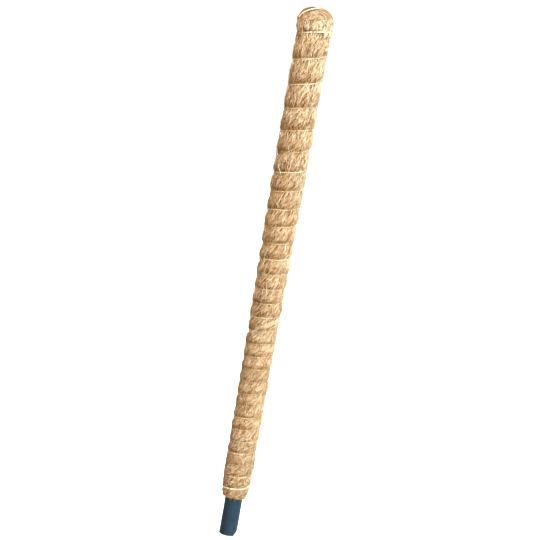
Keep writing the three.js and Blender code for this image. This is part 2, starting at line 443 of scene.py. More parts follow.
def sleeveMesh(name, lowAt, highAt):
    rows = int((highAt(0) - lowAt(0)) / sleeve["rowStep"])
    bm = bmesh.new()
    bmesh.ops.create_grid(bm, x_segments=sleeve["sides"], y_segments=rows + 3, size=1)
    mesh = bpy.data.meshes.new(name)
    bm.to_mesh(mesh)
    bm.free()
    grid = (meshPlaces(mesh) + 1) / 2
    turns = grid[:, 0]
    row = np.rint(grid[:, 1] * (rows + 3)).astype(int)
    # outer rows from the lower end up, then down the inside and back to the start
    share = np.select([row <= rows, row == rows + 1, row == rows + 2], [row / rows, 1.0, 0.0], 0.0)
    inside = (row == rows + 1) | (row == rows + 2)
    low = lowAt(turns)
    height = low + (highAt(turns) - low) * share
    outside = coirRadius(height, turns) - sleeve["sunk"] * hemShare(height)
    radius = np.where(inside, wrap["pipeRadius"] + sleeve["clearance"], outside)
    mesh.vertices.foreach_set("co", ringPoint(radius, turns, height).ravel())
    setLay(mesh, layPlace(turns, height))
    bake = mesh.uv_layers.new(name="OFBake")
    bake.uv.foreach_set("vector", grid[meshCorners(mesh), :2].ravel())
    bm = bmesh.new()
    bm.from_mesh(mesh)
    bmesh.ops.remove_doubles(bm, verts=bm.verts, dist=tiny)
    bmesh.ops.recalc_face_normals(bm, faces=bm.faces)
    return smoothMesh(bm, mesh)


coirMat = coirBodyFinish()
lowerMesh = sleeveMesh("coir_lower", coirFoot, lambda turns: seamHeight(turns) - sleeve["buttGap"] / 2)
upperMesh = sleeveMesh("coir_upper", lambda turns: seamHeight(turns) + sleeve["buttGap"] / 2, coirTop)
addPiece("coir_lower", lowerMesh, coirMat, "coir", "coir_wrap_lower")
addPiece("coir_upper", upperMesh, coirMat, "coir", "coir_wrap_upper")
print("coir sleeves laid")


# strands: many thin tubes in one mesh, tone and shade kept in a map of their own
strandColours = {
    "tones": [
        (0.0, (0.17, 0.075, 0.024)),
        (0.25, (0.38, 0.216, 0.084)),
        (0.55, (0.573, 0.436, 0.293)),
        (0.80, (0.685, 0.592, 0.466)),
        (1.0, (0.79, 0.730, 0.625)),
    ],
    # the shade axis darkens and warms a strand's colour: painted shade
    "shades": [(0.0, (0.30, 0.20, 0.12)), (0.5, (0.80, 0.735, 0.66)), (1.0, (1, 1, 1))],
    "roughness": 0.7,
    "gloss": 0.25,
}
toneRange = (0.02, 0.97)  # both are kept inside the map
shadeRange = (0.02, 0.98)
patchStep = 0.002  # from one side of a strand to the next, in the map


def fibreFinish(name, colours):
    material, tree, shader = newFinish(name)
    spot = Wire.node(tree, "UVMap", {"uv_map": "strand"})
    tone, shade = (Wire.node(tree, "SeparateXYZ", None, {0: spot}, out=axis) for axis in (0, 1))
    clean = ramp(tree, tone, colours["tones"])
    shadow = ramp(tree, shade, colours["shades"])
    setSockets(shader, Roughness=colours["roughness"], Specular_IOR_Level=colours["gloss"])
    feed(tree, shader, Base_Color=blendColours(tree, 1.0, clean, shadow, "MULTIPLY"))
    return material


def tubeProfile(sides):
    data = bpy.data.curves.new("tube_profile", "CURVE")
    data.dimensions = "2D"
    spline = data.splines.new("POLY")
    spline.points.add(sides - 1)
    spline.use_cyclic_u = True
    for i, point in enumerate(spline.points):
        angle = fullTurn * i / sides
        point.co = (math.cos(angle), math.sin(angle), 0, 1)
    profile = bpy.data.objects.new("tube_profile", data)
    bpy.context.collection.objects.link(profile)
    return profile


def strandMesh(name, paths, radii, tone, shade, sides=3):
    count, points = paths.shape[:2]
    data = bpy.data.curves.new(name, "CURVE")
    data.dimensions = "3D"
    data.bevel_mode = "OBJECT"
    data.bevel_object = tubeProfile(sides)
    places = np.ones((count, points, 4))
    places[:, :, :3] = paths
    for i in range(count):
        spline = data.splines.new("POLY")
        spline.points.add(points - 1)
        spline.points.foreach_set("co", places[i].ravel())
        spline.points.foreach_set("radius", radii[i])
    run = bpy.data.objects.new(name, data)
    bpy.context.collection.objects.link(run)
    mesh = bpy.data.meshes.new_from_object(run.evaluated_get(bpy.context.evaluated_depsgraph_get()))
    for done in (run, data.bevel_object):
        spent = done.data
        bpy.data.objects.remove(done)
        bpy.data.curves.remove(spent)
    mesh.name = name
    # each strand takes a small patch of the map, by its tone and its shade
    corners = meshCorners(mesh)
    strand = corners // (points * sides)
    point = corners // sides % points
    around = corners % sides
    spot = np.stack([tone[strand] + patchStep * around, shade[strand, point]], -1)
    while mesh.uv_layers:
        mesh.uv_layers.remove(mesh.uv_layers[0])
    for layer in ("strand", "OFBake"):
        mesh.uv_layers.new(name=layer).uv.foreach_set("vector", spot.ravel())
    bm = bmesh.new()
    bm.from_mesh(mesh)
    ends = [v for v in bm.verts if v.index // sides % points in (0, points - 1)]
    bmesh.ops.remove_doubles(bm, verts=ends, dist=tiny)  # draws each end to a point
    bm.to_mesh(mesh)
    bm.free()
    return mesh


def taper(points, blunt=0.35):  # radius along a strand, from 0 at both ends
    along = np.linspace(0, 1, points)
    return np.clip(np.minimum(along, 1 - along) / blunt, 0, 1) ** 0.5


def evenDraw(count, low=0, high=1):  # a column of values, one for each strand
    return chance.uniform(low, high, (count, 1))


def bellDraw(count, middle, spread):
    return chance.normal(middle, spread, (count, 1))


# their low shade is painted shade in the gaps between the outer strands; their tone is darker too
underLaw = {  # the dark strands that show between the outer ones
    "perLock": 3,
    "points": 12,
    "radius": (0.00024, 0.00034),
    "length": (0.016, 0.032),
    "slantSpread": math.radians(10),
    "bendSpread": 0.35,
    "lift": (-0.0005, -0.0001),
    "weave": 0.0001,
    "bridging": 0.0,
    "tone": (0.38, 0.10),
    "toneEach": 0.08,
    "shade": 0.50,
}
outerLaw = {
    "perLock": 1,
    "points": 10,
    "radius": (0.00022, 0.00038),
    "length": (0.008, 0.022),
    "slantSpread": math.radians(15),
    "bendSpread": 0.7,
    "lift": (-0.0001, 0.0005),
    "weave": 0.00045,
    "bridging": 1.0,
    "tone": (0.58, 0.125),
    "toneEach": 0.0,
    "shade": 0.76,
}
layLaw = {  # what both kinds share
    "weaveLength": 0.009,
    "spacing": 0.0005,  # between the strands of a lock
    "sideSpread": 0.00012,
    "slideSpread": 0.0022,
    "swayTurns": 1.4,
    "swaySpread": 0.0002,
    "headingSpread": 0.06,
    "wilder": (0.1, -0.05, 1.4),  # the lay at the hem
    "hemSlack": 0.0022,  # how far strands may stop short of the wrap's foot
    "hemRange": (-0.15, 1),
    "topSlack": 0.2,  # share of it at the top
    "bridged": 0.9,  # how flat a strand passes over the twine
    "endSpring": 0.00022,
    "seated": 0.00005,
    "lap": 0.0018,  # of the upper length over the lower one
}


def bridgingAt(turn):  # share of strands that pass over the twine: few at its two ends
    below = grow(turn, 17, -4)
    cover = (0.13 + 0.12 * below) * (1 - 0.45 * np.cos(fullTurn * turn / 3))
    ends = np.maximum(grow(turn, 0.9, -0.4), grow(turn, 28.74, 0.1))
    footLeft = grow(turn, -0.10, -0.06)  # the hem's strands hide the twine there
    return cover + (0.06 + 0.6 * footLeft - cover) * ends


def bandLooks(law, lockTone, lift, weave, height, turns, phase):  # tone and shade, by place on pole and band
    count = len(height)
    lower = grow(height, 0.40, -0.16)
    upper = grow(height, 0.40, 0.12)
    top = grow(height, 0.560, 0.010)
    # painted shade on the lower part of each band, under its bulge, and a painted highlight on its upper lip
    # just below the twine, in both tone and shade
    undersideShade = grow(phase, 0.36, -0.36) * (1 - 0.35 * lower)
    lipHighlight = grow(phase, 0.72, 0.28)
    bandTone = 0.16 * lipHighlight - 0.25 * undersideShade - 0.03 * lower + 0.08 * upper
    tone = lockTone[:, 0] + bandTone[:, law["points"] // 2] + chance.normal(0, law["toneEach"], count)
    # painted shade: strands that lie lower, and the low parts of each strand's weave, are darker
    depth = (lift - law["lift"][0]) / (law["lift"][1] - law["lift"][0]) - 0.5
    seamShadow = nearSeam(height + 0.001, turns)  # just below the seam
    shade = law["shade"] + 0.09 * depth + 0.10 * weave - 0.28 * undersideShade + 0.12 * lipHighlight
    # painted shade on the wrap's top, under the crown, and a painted shadow just below the seam
    shade = shade + 0.10 * lower - 0.08 * upper - 0.12 * top - 0.35 * seamShadow
    shade = shade + bellDraw(count, 0, 0.05)
    return np.clip(tone, *toneRange), np.clip(shade, *shadeRange)


def layStrands(law, lockCount, lowAt, highAt):
    fibres = lockCount * law["perLock"]
    along = np.linspace(-0.5, 0.5, law["points"])

    def perLock(values):  # one value a lock, given to each of its strands
        return np.repeat(values, law["perLock"])[:, None]

    startTurn = perLock(evenDraw(lockCount))
    low = lowAt(startTurn)
    high = highAt(startTurn)
    startHeight = low + (high - low) * perLock(evenDraw(lockCount))
    wilder = 1 + grow(startHeight, *layLaw["wilder"])
    slant = slantAt(startHeight) + wilder * perLock(bellDraw(lockCount, 0, law["slantSpread"]))
    bend = wilder * perLock(bellDraw(lockCount, 0, law["bendSpread"]))
    length = perLock(evenDraw(lockCount, *law["length"]))
    lift = perLock(evenDraw(lockCount, *law["lift"]))
    nearTurn = np.rint(turnAt(startHeight) - riseTurn(startTurn)) + startTurn
    over = perLock(evenDraw(lockCount)) < law["bridging"] * bridgingAt(nearTurn)
    bridging = layLaw["bridged"] * over
    lockTone = perLock(bellDraw(lockCount, *law["tone"]))
    side = np.tile(np.arange(law["perLock"]) - (law["perLock"] - 1) / 2, lockCount)[:, None]
    side = side * layLaw["spacing"] + bellDraw(fibres, 0, layLaw["sideSpread"])
    slide = bellDraw(fibres, 0, layLaw["slideSpread"])
    wave = np.sin(fullTurn * (along * layLaw["swayTurns"] + evenDraw(fibres)))
    side = side + wave * bellDraw(fibres, 0, layLaw["swaySpread"])
    heading = slant + bend * along + bellDraw(fibres, 0, layLaw["headingSpread"])
    step = length / (law["points"] - 1)
    run = np.cumsum(np.cos(heading) * step, 1)
    rise = np.cumsum(np.sin(heading) * step, 1)
    middle = law["points"] // 2
    run = run - run[:, middle:middle + 1] + slide * np.cos(slant) - side * np.sin(slant)
    rise = rise - rise[:, middle:middle + 1] + slide * np.sin(slant) + side * np.cos(slant)
    turns = startTurn + run / (fullTurn * bulgeRadius(startHeight))
    slack = evenDraw(fibres, *layLaw["hemRange"]) * layLaw["hemSlack"]
    height = np.clip(startHeight + rise, lowAt(turns) + slack, highAt(turns) - layLaw["topSlack"] * slack)
    phase = bandPhase(height, turns)
    pinched = pinch(phase) * (1 - bridging)
    ends = np.abs(along * 2) ** 6 * chance.exponential(layLaw["endSpring"], (fibres, 1))
    weave = np.sin(fullTurn * (along * length / layLaw["weaveLength"] + evenDraw(fibres)))
    proud = (lift + law["weave"] * weave + ends) * (1 - pinched) + layLaw["seated"]
    paths = ringPoint(coirRadius(height, turns, bridging) + proud, turns, height)
    thick = evenDraw(fibres, *law["radius"]) * taper(law["points"])
    return paths, thick, *bandLooks(law, lockTone, lift, weave, height, turns, phase)


strandCoat = fibreFinish("coir_strand", strandColours)
chance = np.random.default_rng(2718)  # each stage draws from its own start, so every run is the same


def addStrands(name, made, *nodes):
    mesh = strandMesh(name, *made)
    addPiece(name, mesh, strandCoat, "coir", *nodes)
    print(name, len(mesh.polygons), "faces")


def overSeam(turns):
    return seamHeight(turns) - layLaw["lap"]


coirLengths = {  # locks beneath, locks in each outer layer, where the length starts and ends
    "lower": (600, 3100, coirFoot, seamHeight),
    "upper": (980, 3900, overSeam, coirTop),
}
for name, (underCount, outerCount, lowAt, highAt) in coirLengths.items():
    node = f"coir_wrap_{name}"
    addStrands(f"strands_{name}_under", layStrands(underLaw, underCount, lowAt, highAt), node)
    for layer in (1, 2):
        addStrands(f"strands_{name}_outer_{layer}", layStrands(outerLaw, outerCount, lowAt, highAt), node)
print("strands laid")


# loose strands: pale ones along the seam, stray ones, and the fuzz that stands off the coir
looseLaw = {
    "points": 12,
    "radius": 0.00030,
    "bridged": 0.8,
    "proud": 0.0007,
    "shade": 0.85,
    "inset": 0.001,  # from the wrap's ends
    "meanRadius": 0.0175,
}
seamLaw = {
    "count": 56,
    "span": (0.10, 0.24),  # in turns
    "swaySpread": 0.0007,
    "offset": (0.0008, 0.0017),
}
strayLaw = {
    "count": 60,
    "reach": (0.010, 0.022),
    "heights": (0.06, 0.56),
}
shownStray = {  # one that shows left of the middle, paler and prouder than the rest
    "turns": (-0.105, 0.060),  # its middle, and from end to end
    "heights": (0.4225, -0.013),
    "tone": 0.97,
    "proud": 0.0006,
}
fuzzLaw = {
    "count": 6500,
    "points": 6,
    "radius": (0.00011, 0.00023),
    "length": (0.0025, 0.0085),
    "longer": (0.30, -0.10, 0.25),  # low on the pole
    "overhang": 0.0012,  # below the hem
}


def seamStrands(law):
    count = law["count"]
    along = np.linspace(-0.5, 0.5, looseLaw["points"])
    start = evenDraw(count)
    turns = start + along * evenDraw(count, *law["span"])
    wave = np.sin(fullTurn * (along * 1.3 + evenDraw(count)))
    sway = wave * bellDraw(count, 0, law["swaySpread"])
    height = seamHeight(turns) + bellDraw(count, *law["offset"]) + 0.002 * along + sway
    return turns, height, chance.uniform(0.45, 0.90, count)


def strayStrands(law):
    count = law["count"]
    along = np.linspace(-0.5, 0.5, looseLaw["points"])
    way = evenDraw(count, 0, math.pi)
    reach = evenDraw(count, *law["reach"]) * along
    bend = bellDraw(count, 0, 0.5) * along
    startHeight = evenDraw(count, *law["heights"])
    turns = evenDraw(count) + reach * np.cos(way + bend) / (fullTurn * looseLaw["meanRadius"])
    height = startHeight + reach * np.sin(way + bend)
    tone = chance.uniform(0.62, 0.95, count)
    for values, (middle, span) in ((turns, shownStray["turns"]), (height, shownStray["heights"])):
        values[0] = middle + span * along
    tone[0] = shownStray["tone"]
    return turns, height, tone


def looseStrands():
    both = zip(seamStrands(seamLaw), strayStrands(strayLaw))
    turns, height, tone = (np.concatenate(pair) for pair in both)
    height = np.clip(height, wrap["stub"] + looseLaw["inset"], wrap["neck"] - looseLaw["inset"])
    proud = looseLaw["proud"] + shownStray["proud"] * (tone == shownStray["tone"])[:, None]
    paths = ringPoint(coirRadius(height, turns, looseLaw["bridged"]) + proud, turns, height)
    thick = looseLaw["radius"] * taper(looseLaw["points"]) * np.ones((len(tone), 1))
    return paths, thick, tone, np.full(turns.shape, looseLaw["shade"])


def fuzzStrands(law):
    count = law["count"]
    along = np.linspace(0, 1, law["points"])
    turns = evenDraw(count)
    share = evenDraw(count) ** 1.3  # more of it low on the pole
    height = wrap["stub"] + looseLaw["inset"] + (wrap["neck"] - wrap["stub"]) * share
    way = slantAt(height) + bellDraw(count, 0, 0.6)
    way = way + math.pi * (evenDraw(count) < 0.5)  # up or down the lay
    length = evenDraw(count, *law["length"]) * (1 + grow(height, *law["longer"]))
    standing = evenDraw(count, 0.1, 0.6)
    outward = length * (standing * along - 0.25 * standing * along ** 2)
    turns = turns + length * along * np.cos(way) / (fullTurn * looseLaw["meanRadius"])
    height = np.maximum(height + length * along * np.sin(way), wrap["stub"] - law["overhang"])
    paths = ringPoint(coirRadius(height, turns) + outward, turns, height)
    thick = evenDraw(count, *law["radius"]) * (1 - along) ** 0.4
    thick[:, 0] = 0
    # the low shade is painted shade that darkens the outline; the tone is dark too
    tone = chance.uniform(0.05, 0.60, count)
    return paths, thick, tone, np.full(height.shape, 0.5)


chance = np.random.default_rng(1618)
addStrands("strands_loose", looseStrands(), "coir_wrap_lower", "coir_wrap_upper")
addStrands("coir_fuzz", fuzzStrands(fuzzLaw), "coir_wrap_lower", "coir_wrap_upper")
print("loose strands laid")


# crown: a wad of coir folded over the pipe's end
crown = {
    "radius": 0.0192,
    "base": 0.5753,
    "domeBase": 0.580,
    "domeHeight": 0.020,
    "domePower": 2.6,
    "neckTuck": 0.0044,
    "skinTuck": 0.0030,  # of the strands, which are drawn in only just above the twine
    "belly": 0.5795,  # where it stands proud of the twine
    "socket": 0.0106,
    "socketGap": 0.0006,  # above the pipe
    "rings": 26,
    "sideRings": 5,
    "sides": 96,
    "sunk": 0.0006,
    "whorl": (0.004, -0.019, 0.5835),  # on the front: the strands arch over it and stand below it
    "layStretch": 60,
}


def tuckShare(height):
    return grow(height, crown["domeBase"], wrap["neck"] - crown["domeBase"])


def crownRadiusAt(height):
    side = crown["radius"] - crown["neckTuck"] * tuckShare(height) ** 2
    share = grow(height, crown["domeBase"], crown["domeHeight"])
    dome = crown["radius"] * (1 - share ** crown["domePower"]) ** (1 / crown["domePower"])
    return np.where(height < crown["domeBase"], side, dome)


def crownSkin(height):
    side = crown["radius"] - crown["skinTuck"] * tuckShare(height) ** 4
    return np.where(height < crown["domeBase"], side, crownRadiusAt(height))


def ontoCrown(places, proud):
    across = np.hypot(places[..., 0], places[..., 1])
    over = np.maximum(places[..., 2] - crown["domeBase"], 0)
    power = crown["domePower"]
    far = ((across / crown["radius"]) ** power + (over / crown["domeHeight"]) ** power) ** (1 / power)
    low = np.clip(places[..., 2], crown["base"], crown["domeBase"])
    onDome = places[..., 2] >= crown["domeBase"]
    sideScale = (crownSkin(low) + proud) / np.maximum(across, tiny)
    scale = np.where(onDome, (1 + proud / crown["radius"]) / np.maximum(far, tiny), sideScale)
    height = np.where(onDome, crown["domeBase"] + over * scale, low)
    return np.stack([places[..., 0] * scale, places[..., 1] * scale, height], -1)


def makeCrown():
    sunk = crown["sunk"]
    roof = pipe["top"] + crown["socketGap"]
    sideHeights = np.linspace(crown["base"], crown["domeBase"], crown["sideRings"])[:-1]
    quarter = np.linspace(0, math.pi / 2, crown["rings"])
    domeHeights = crown["domeBase"] + crown["domeHeight"] * np.sin(quarter)
    rows = [(crown["socket"], crown["base"])]
    rows += [(crownSkin(h) - sunk, h) for h in sideHeights]
    rows += [(max(crownRadiusAt(h) - sunk, 0), h - sunk) for h in domeHeights]
    rows[-1] = (0, crown["domeBase"] + crown["domeHeight"] - sunk)
    rows += [(0, roof), (crown["socket"], roof)]
    bm = spunOutline(rows, crown["sides"])
    inner = [e for e in bm.edges if all(math.hypot(v.co.x, v.co.y) < tiny for v in e.verts)]
    bmesh.ops.delete(bm, geom=inner, context="EDGES")
    bmesh.ops.recalc_face_normals(bm, faces=bm.faces)
    mesh = smoothMesh(bm, bpy.data.meshes.new("crown"))
    away = meshPlaces(mesh) - np.array(crown["whorl"])
    ringSize = np.hypot(away[:, 0], np.maximum(away[:, 2], 0))
    setLay(mesh, np.stack([ringSize, away[:, 1], 0 * ringSize], -1) * crown["layStretch"])
    addPiece("crown", mesh, coirMat, "coir", "crown_wad")


# twine: two plies laid together, wound from the foot to the crown
twine = {
    "radius": 0.0008,
    "seatGap": 0.0003,
    "ply": 0.00043,  # radius of one ply
    "plyTones": (0.55, 0.68),
    "plySides": 6,
    "offset": 0.00037,  # from the twine's middle to a ply's
    "lay": 0.0052,  # length of one twist
    "step": 0.00062,
    "footTurn": -0.45,
    "joinTurn": 12.5,
    "joinGap": 0.035,  # in turns
    "shoulderTurns": 0.81,
    "shoulderRise": 0.0132,
    "bedded": 0.0016,  # how deep it lies in the crown
    "bedStart": (0.08, 0.14),  # in turns past the neck
    "bedEnd": (0.76, -0.12),
    "crownTurns": 0.27,
    "endShare": 0.15,
    "dive": (0.8, 0.2),  # the end goes down into the coir
    "diveDepth": 0.003,
    "paleAtFoot": (1.1, -0.5),  # darker between these two, in patches; paler at both ends
    "paleAtNeck": (28.3, 0.5),
    "paleFoot": (6, -2, 0.22),
}
twineColours = {
    "tones": [(0.0, (0.60, 0.50, 0.31)), (0.5, (0.80, 0.72, 0.53)), (1.0, (0.92, 0.88, 0.76))],
    "shades": [
        (0.0, (0.52, 0.40, 0.27)),
        (0.5, (0.80, 0.74, 0.64)),
        (0.85, (0.97, 0.96, 0.94)),
        (1.0, (1, 1, 1)),
    ],
    "roughness": 0.8,
    "gloss": 0.2,
}


def twineAt(turn):
    clear = twine["radius"] + twine["seatGap"]
    height = twineHeight(turn)
    pitch = twineHeight(turn + 0.5) - twineHeight(turn - 0.5)
    run = min(wrap["bulgeLow"], 1 - wrap["bulgeHigh"]) * pitch
    seated = bulgeRadius(height) - grooveAt(height) + clear * np.hypot(1, grooveAt(height) / run)
    pastNeck = turn - wrap["turnCount"]
    sideHeight = wrap["neck"] + twine["shoulderRise"] * grow(pastNeck, 0, twine["shoulderTurns"])
    widest = np.maximum(crownRadiusAt(sideHeight), crownRadiusAt(sideHeight + twine["radius"]))
    inBed = np.minimum(grow(pastNeck, *twine["bedStart"]), grow(pastNeck, *twine["bedEnd"]))
    bed = twine["bedded"] * inBed
    radius = np.where(pastNeck > 0, widest + clear - bed, seated)
    height = np.where(pastNeck > 0, sideHeight, height)
    # over the dome the twine stands off along the dome's own normal
    over = (pastNeck - twine["shoulderTurns"]) / twine["crownTurns"]
    onDome = over > 0
    reach = crownRadiusAt(wrap["neck"] + twine["shoulderRise"])
    across = reach + (twine["endShare"] * crown["radius"] - reach) * np.clip(over, 0, 1)
    power = crown["domePower"]
    share = np.clip(1 - (across / crown["radius"]) ** power, 0, 1) ** (1 / power)
    slope = (across / crown["radius"]) ** (power - 1) / crown["radius"]
    climb = share ** (power - 1) / crown["domeHeight"]
    size = np.hypot(slope, climb)
    stand = clear - bed - twine["diveDepth"] * grow(over, *twine["dive"]) ** 2
    radius = np.where(onDome, across + stand * slope / size, radius)
    height = np.where(onDome, crown["domeBase"] + crown["domeHeight"] * share + stand * climb / size, height)
    outward = np.where(onDome, slope / size, 1.0)
    upward = np.where(onDome, climb / size, 0.0)
    return ringPoint(radius, turn, height), outward, upward


# the crown's strands, and those that meet the twine at its neck
crownLayers = {
    # the under layer's low shade is painted shade between the outer strands
    "crown_strands_under": {"count": 500, "lift": (-0.0005, 0.0), "tone": 0.34, "shade": 0.34},
    "crown_strands_outer": {"count": 1700, "lift": (0.0, 0.0006), "tone": 0.70, "shade": 0.52},
}
crownLaw = {
    "points": 10,
    "radius": (0.00022, 0.00036),
    "length": (0.007, 0.020),
    "weave": 0.0003,
    "rise": 0.0245,
    "topShare": 0.25,  # the flat of the dome has few heights, so it gets its own
    "topReach": 0.85,
    "topHeight": 0.5985,
    "whorlShare": 0.07,
    "whorlSpread": 0.0028,
    "whorlDrop": 0.002,
    "normalDrop": 0.004,  # the dome's normals start this far below its base
}


def crownShades(paths):  # what the place on the crown adds to a strand's shade
    across, height = paths[..., 0], paths[..., 2]
    crossing = twineAt(wrap["turnCount"] + np.array([0.80, 0.90, 1.0]))[0]  # nearly flat, on the dome
    backward = np.cross(crossing[1] - crossing[0], crossing[2] - crossing[0])
    backward *= np.sign(backward[1]) / np.linalg.norm(backward)
    past = (paths - crossing[0]) @ backward  # metres behind the twine
    # painted shade behind the twine on the left of the dome, and a painted shadow just in front of the twine
    shadeBeyondTwine = grow(past, 0, 0.002) * grow(past, 0.011, -0.008) * grow(across, 0.007, -0.010)
    shadowBesideTwine = np.exp(-(((past + 0.0019) / 0.0008) ** 2)) * (across < 0.002)
    # painted shade: darker on the dome's top, where the light falls most, paler at the belly
    climb = grow(height, 0.581, 0.016)  # paler at the belly than on top
    # painted shade at the neck, and on the right, where the lamps light the crown most
    neck = grow(height, 0.579, -0.004)
    right = grow(across, 0, 0.012)
    return 0.22 - 0.46 * climb - 0.15 * neck - 0.30 * shadeBeyondTwine - 0.35 * shadowBesideTwine - 0.10 * right


def crownStrands(law, layer):
    count = layer["count"]
    points = law["points"]
    turns = chance.uniform(0, 1, count)
    height = crown["base"] + law["rise"] * chance.uniform(0, 1, count) ** 0.62
    place = ringPoint(crownRadiusAt(height), turns, height)
    top = chance.uniform(0, 1, count) < law["topShare"]
    spread = crown["radius"] * law["topReach"] * np.sqrt(chance.uniform(0, 1, count))
    place = np.where(top[:, None], ringPoint(spread, turns, 0 * spread + law["topHeight"]), place)
    inWhorl = chance.uniform(0, 1, count) < law["whorlShare"]
    scatter = chance.normal(0, law["whorlSpread"], (count, 3)) * (1, 0, 1)
    near = np.array(crown["whorl"]) + scatter - (0, 0, law["whorlDrop"])
    place = np.where(inWhorl[:, None], near, place)
    length = chance.uniform(*law["length"], count) * np.where(inWhorl, 0.6, 1)
    veer = bellDraw(count, 0, 0.20)
    lift = chance.uniform(*layer["lift"], count)
    paths = np.empty((count, points, 3))
    place = ontoCrown(place, 0.0)
    start = chance.uniform(0, 1, count)
    facing = np.where(evenDraw(count) < 0.5, 1.0, -1.0) * (0, -1.0, 0)  # either way round
    for i in range(points):
        weave = law["weave"] * np.sin(fullTurn * (length * i / (points - 1) / layLaw["weaveLength"] + start))
        paths[:, i] = ontoCrown(place, lift + weave)
        normal = place - np.array([0, 0, crown["domeBase"] - law["normalDrop"]])
        normal /= np.linalg.norm(normal, axis=1, keepdims=True)
        away = place - np.array(crown["whorl"])
        away[:, 2] = np.maximum(away[:, 2], 0)
        way = np.cross(facing, away)
        way -= normal * np.sum(way * normal, axis=1, keepdims=True)
        way /= np.maximum(np.linalg.norm(way, axis=1, keepdims=True), tiny)
        way = way * np.cos(veer) + np.cross(normal, way) * np.sin(veer)
        place = ontoCrown(place + way * (length / (points - 1))[:, None], 0.0)
    thick = evenDraw(count, *law["radius"]) * taper(points)
    tone = np.clip(chance.normal(layer["tone"], 0.21, count), *toneRange)
    shade = layer["shade"] + crownShades(paths) + bellDraw(count, 0, 0.11)
    return paths, thick, tone, np.clip(shade, *shadeRange)


beadLaw = {  # short upright strands between the last turn of twine and the crown's belly
    "count": 130,
    "points": 7,
    "radius": (0.00032, 0.00055),
    "turns": (-0.30, 0.70),
    "atBase": (-0.22, -0.08),  # left of the front they start at the twine, and further left at the base
    "aboveTwine": 0.0009,
    "length": 0.004,
    "footRadius": 0.0168,
    "fullHeight": 0.5815,
    "proud": 0.0002,
}
coverLaw = {  # strands that lie over the last turn of twine, at its sides and behind
    "count": 210,
    "points": 8,
    "radius": (0.00026, 0.00040),
    "leftShare": 0.22,
    "leftTurns": (-0.115, -0.15),  # from where, and how far round
    "rightTurns": (0.10, 0.70),
    "rise": 0.0036,
    "riseRange": (0.7, 1.2),
    "lowFoot": 0.566,  # where the twine is low they reach down onto the wrap
    "lowRange": (0, 0.007),
    "lean": (0.01, 0.012),
    "pressed": 0.0001,
    "drawnBelow": 0.0026,
    "drawnAbove": 0.0020,
    "onWrap": 0.0003,
}


def neckBeads(law):
    count = law["count"]
    along = np.linspace(0, 1, law["points"])
    turns = evenDraw(count, *law["turns"])
    hang = np.where(turns < 0, 1 - grow(turns, *law["atBase"]), 0)
    overTwine = twineHeight(wrap["turnCount"] + turns) + law["aboveTwine"]
    foot = crown["base"] + (overTwine - crown["base"]) * hang
    top = np.maximum(foot + law["length"], crown["belly"]) + evenDraw(count, 0, law["length"])
    height = foot + (top - foot) * along
    lean = bellDraw(count, 0, 0.012) * along
    climb = np.sin(grow(height, foot, law["fullHeight"] - foot) * math.pi / 2)
    radius = law["footRadius"] + (crown["radius"] + law["proud"] - law["footRadius"]) * climb
    paths = ringPoint(radius + evenDraw(count, 0, 0.0004), turns + lean, height)
    thick = evenDraw(count, *law["radius"]) * taper(law["points"], 0.25)
    tone = chance.uniform(0.35, 0.95, count)
    # painted shade: darker at the foot, under the crown's belly
    shade = 0.62 + 0.25 * along + bellDraw(count, 0, 0.06)
    return paths, thick, tone, np.clip(shade, *shadeRange)


def neckCovers(law):
    count = law["count"]
    along = np.linspace(-1, 1, law["points"])
    left = evenDraw(count) < law["leftShare"]
    around = evenDraw(count)
    leftStart, leftSpan = law["leftTurns"]
    rightStart, rightSpan = law["rightTurns"]
    rightTurns = rightStart + rightSpan * around ** 1.6
    turns = np.where(left, leftStart + leftSpan * around, rightTurns)
    middle = twineAt(wrap["turnCount"] + turns)[0]
    reach = np.hypot(middle[..., 0], middle[..., 1])
    level = middle[..., 2]
    top = level + law["rise"] * evenDraw(count, *law["riseRange"])
    foot = 2 * level - top
    lowFoot = law["lowFoot"] + evenDraw(count, *law["lowRange"])
    foot = np.where(level < crown["belly"], np.minimum(foot, lowFoot), foot)
    height = foot + (top - foot) * (along + 1) / 2
    lean = turns + bellDraw(count, *law["lean"]) * along
    drawn = np.where(along < 0, law["drawnBelow"], law["drawnAbove"]) * along ** 2
    arch = reach + twine["radius"] - law["pressed"] - drawn
    onWrap = coirRadius(height, lean, looseLaw["bridged"]) + law["onWrap"]
    radius = np.maximum(arch, np.where(height < wrap["neck"], onWrap, 0))
    thick = evenDraw(count, *law["radius"]) * taper(law["points"])
    # darker on the left, the side away from the lamps: a darker tone and painted shade
    tone = np.where(left[:, 0], chance.uniform(0.2, 0.75, count), chance.uniform(0.35, 0.8, count))
    shade = np.where(left, 0.58, 0.72) + bellDraw(count, 0, 0.08)
    return ringPoint(radius, lean, height), thick, tone, np.repeat(shade, law["points"], 1)


makeCrown()
chance = np.random.default_rng(1414)
for name, layer in crownLayers.items():
    addStrands(name, crownStrands(crownLaw, layer), "crown_wad")
addStrands("crown_neck_strands", neckBeads(beadLaw), "crown_wad")
addStrands("crown_neck_covers", neckCovers(coverLaw), "crown_wad")
print("crown laid")


# the twine's two lengths, and a knot at each end of the lower one
knot = {
    "radius": 0.0016,
    "wind": (0.3, 4 * math.pi + 0.5),
    "lobes": 1.5,
    "points": 400,
    "tailPoints": 120,
    "tail": (0.0035, -0.0075, -0.0016),  # aside, down, back to the coir
    "reach": 0.09,  # turns over which the twine rises to it
}


def knotRise(turn):  # lifts the lower length out of its groove at its two knots
    near = np.minimum(np.abs(turn - twine["footTurn"]), np.abs(turn - twine["joinTurn"]))
    return smooth(np.clip(1 - near / knot["reach"], 0, 1))


